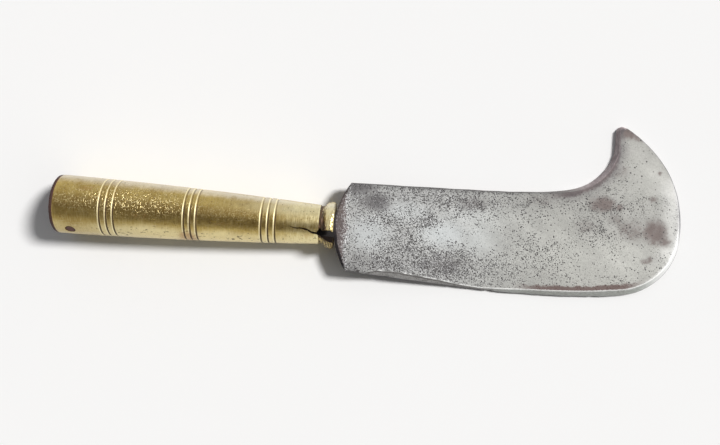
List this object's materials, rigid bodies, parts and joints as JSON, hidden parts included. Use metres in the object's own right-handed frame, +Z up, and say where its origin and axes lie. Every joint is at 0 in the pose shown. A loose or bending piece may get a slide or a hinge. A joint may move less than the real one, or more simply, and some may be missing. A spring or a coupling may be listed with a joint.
{
  "type": "billhook",
  "caption": "Hand billhook: a broad steel blade with a hooked nose on a tapered hollow brass handle with turned grooves, cracked at the neck; it cuts and splits green wood.",
  "frame": {"origin": "middle of the outer box's lower face, on the surface that the tool lies on", "axes": "+X along the tool from the butt to the nose, +Y across it towards the beak, +Z up from the surface; the front half of the blade lies flat on Z = 0"},
  "size_m": [0.334, 0.0942, 0.0317],
  "materials": {
    "steel": "old forged carbon steel, pitted and stained, scoured grey, with a brighter ground edge",
    "brass": "old cast and turned brass, satin from handling, dark in the grooves, with small casting pits",
    "wood": "old hardwood filling, hidden inside the brass",
    "iron": "rusty dark iron, worn smooth at its rim"
  },
  "bodies": {
    "root": {"blade": "steel", "handle_sleeve": "brass", "collar": "brass", "core": "wood", "butt_disc": "iron", "nail": "iron"}
  },
  "joints": []
}
